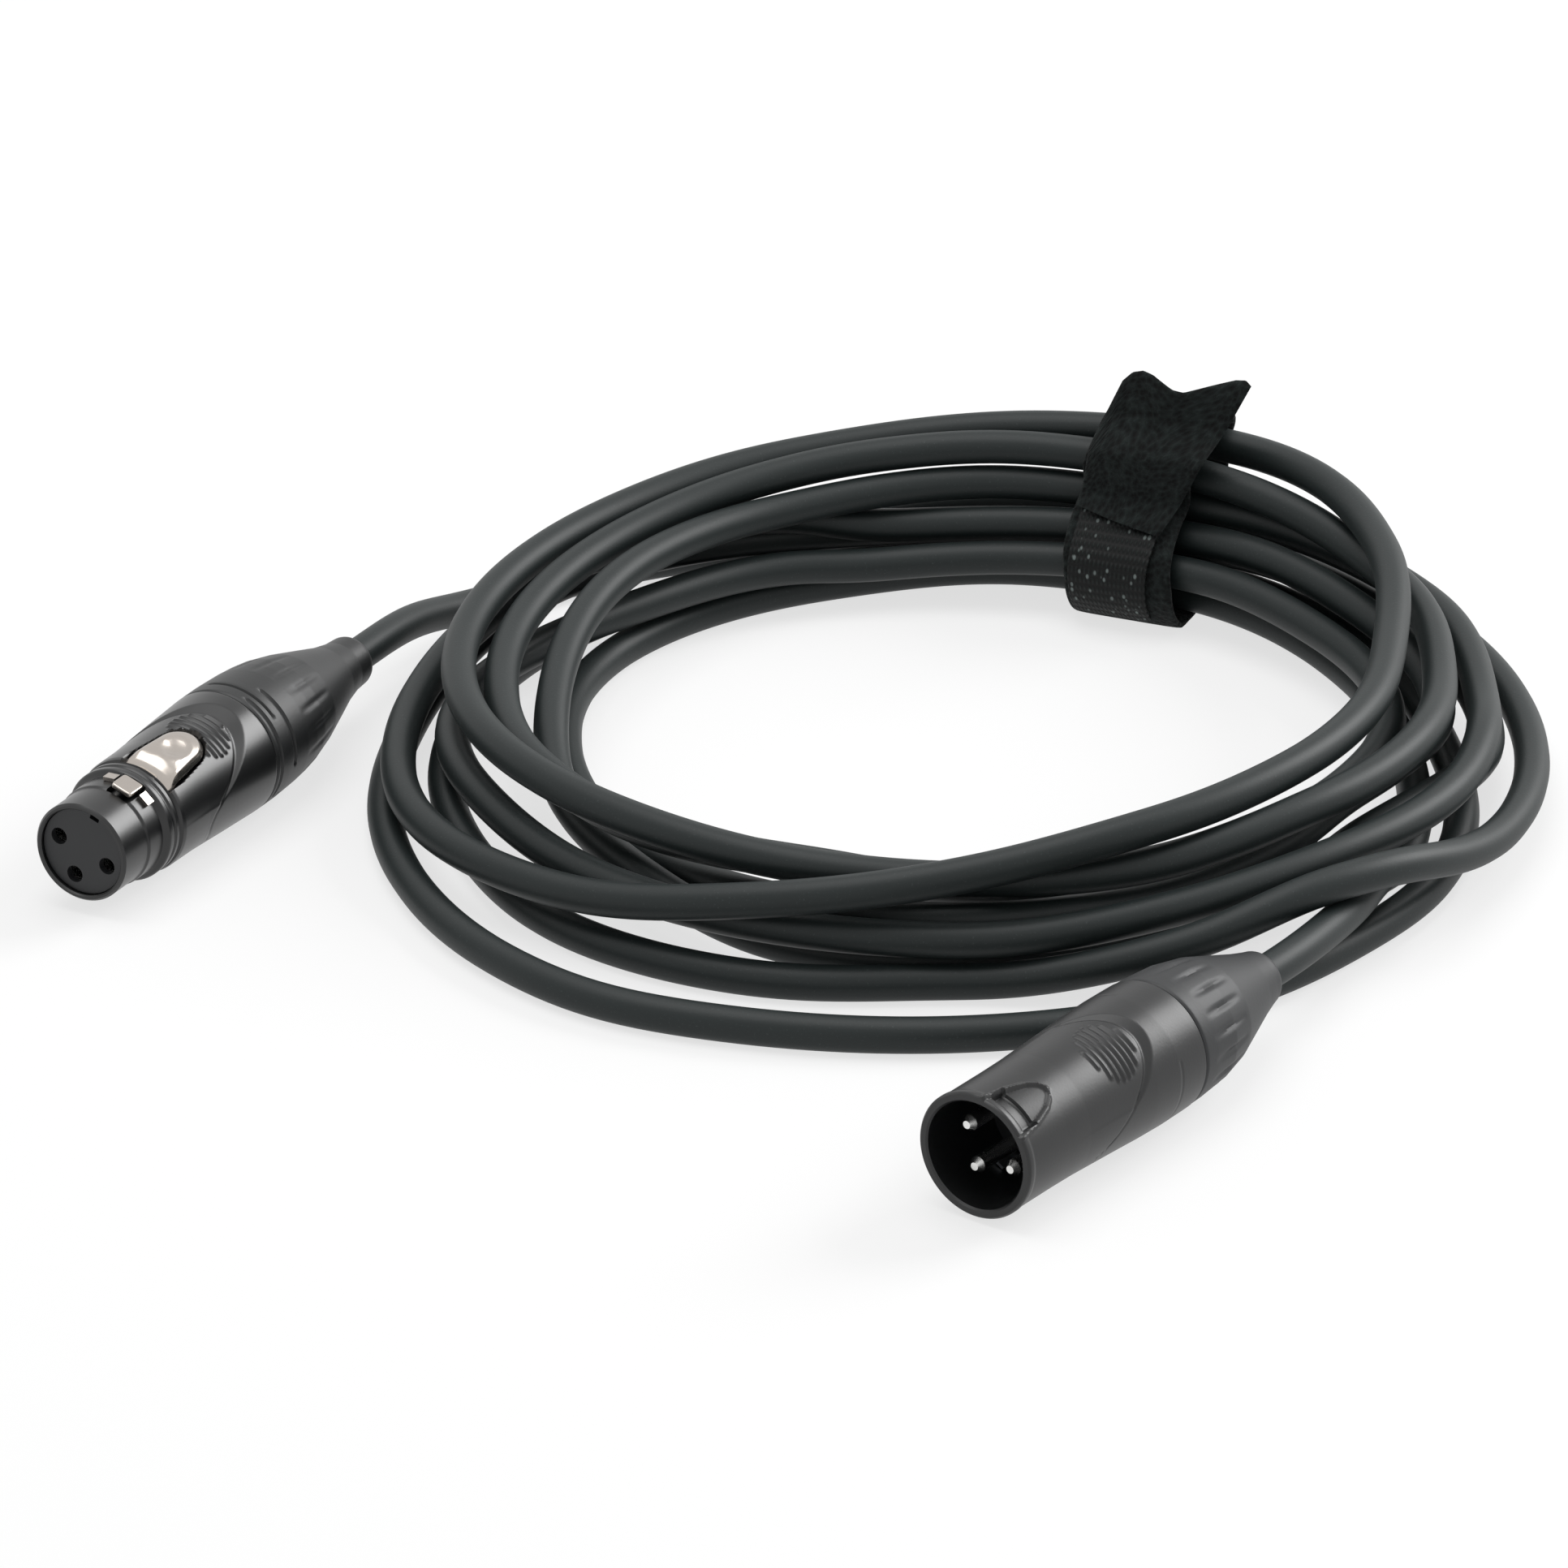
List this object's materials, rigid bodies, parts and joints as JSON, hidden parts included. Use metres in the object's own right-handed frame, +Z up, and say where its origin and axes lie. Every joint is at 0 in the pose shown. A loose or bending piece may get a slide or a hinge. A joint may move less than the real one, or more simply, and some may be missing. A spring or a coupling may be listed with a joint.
{
  "type": "xlr cable coil",
  "caption": "Microphone cable with a female and a male three-pole plug, wound into a round coil and held by a hook-and-loop strap.",
  "frame": {"origin": "centre of the bounding box's bottom face, on the floor under the coil", "axes": "+Z up; the strap is at the back of the coil (+Y), the female plug on the left (-X), the male plug in front (-Y)"},
  "size_m": [0.2309, 0.242, 0.041],
  "materials": {
    "black_shell": "gloss black",
    "satin_shell": "satin black",
    "insert_black": "matt black",
    "contact": "silver plated",
    "nickel": "bright nickel",
    "spring_steel": "plain spring steel",
    "chuck_plastic": "matt dark grey",
    "boot_black": "satin black",
    "wire_red": "insulated, red",
    "wire_white": "insulated, white",
    "copper": "bare copper strands",
    "jacket": "matt charcoal PVC",
    "strap_loop": "black loop pile",
    "strap_hook": "black woven hook tape"
  },
  "bodies": {
    "coil": {"female_housing": "black_shell", "female_insert": "insert_black", "socket_contact_1": "contact", "socket_contact_2": "contact", "socket_contact_3": "contact", "latch_spring": "spring_steel", "ground_tabs": "nickel", "female_chuck": "chuck_plastic", "female_boot": "boot_black", "female_hot_wire": "wire_red", "female_cold_wire": "wire_white", "female_shield_wire": "copper", "male_housing": "satin_shell", "male_insert": "insert_black", "contact_pin_1": "contact", "contact_pin_2": "contact", "contact_pin_3": "contact", "male_ground_strip": "spring_steel", "male_chuck": "chuck_plastic", "male_boot": "boot_black", "male_hot_wire": "wire_red", "male_cold_wire": "wire_white", "male_shield_wire": "copper", "cable_female_lead": "jacket", "cable_coil": "jacket", "cable_male_lead": "jacket", "strap_band": "strap_loop", "strap_hook_layer": "strap_hook", "strap_tail": "strap_loop"},
    "latch": {"female_latch": "nickel"}
  },
  "joints": [
    {"name": "female_latch_press", "type": "hinge", "parent": "coil", "child": "latch", "pos_m": [-0.09293, 0.00634, 0.01773], "axis": [0.8243, -0.4383, -0.3584], "range_deg": [0, 3.5], "stiffness_Nm_per_rad": 0.9}
  ]
}
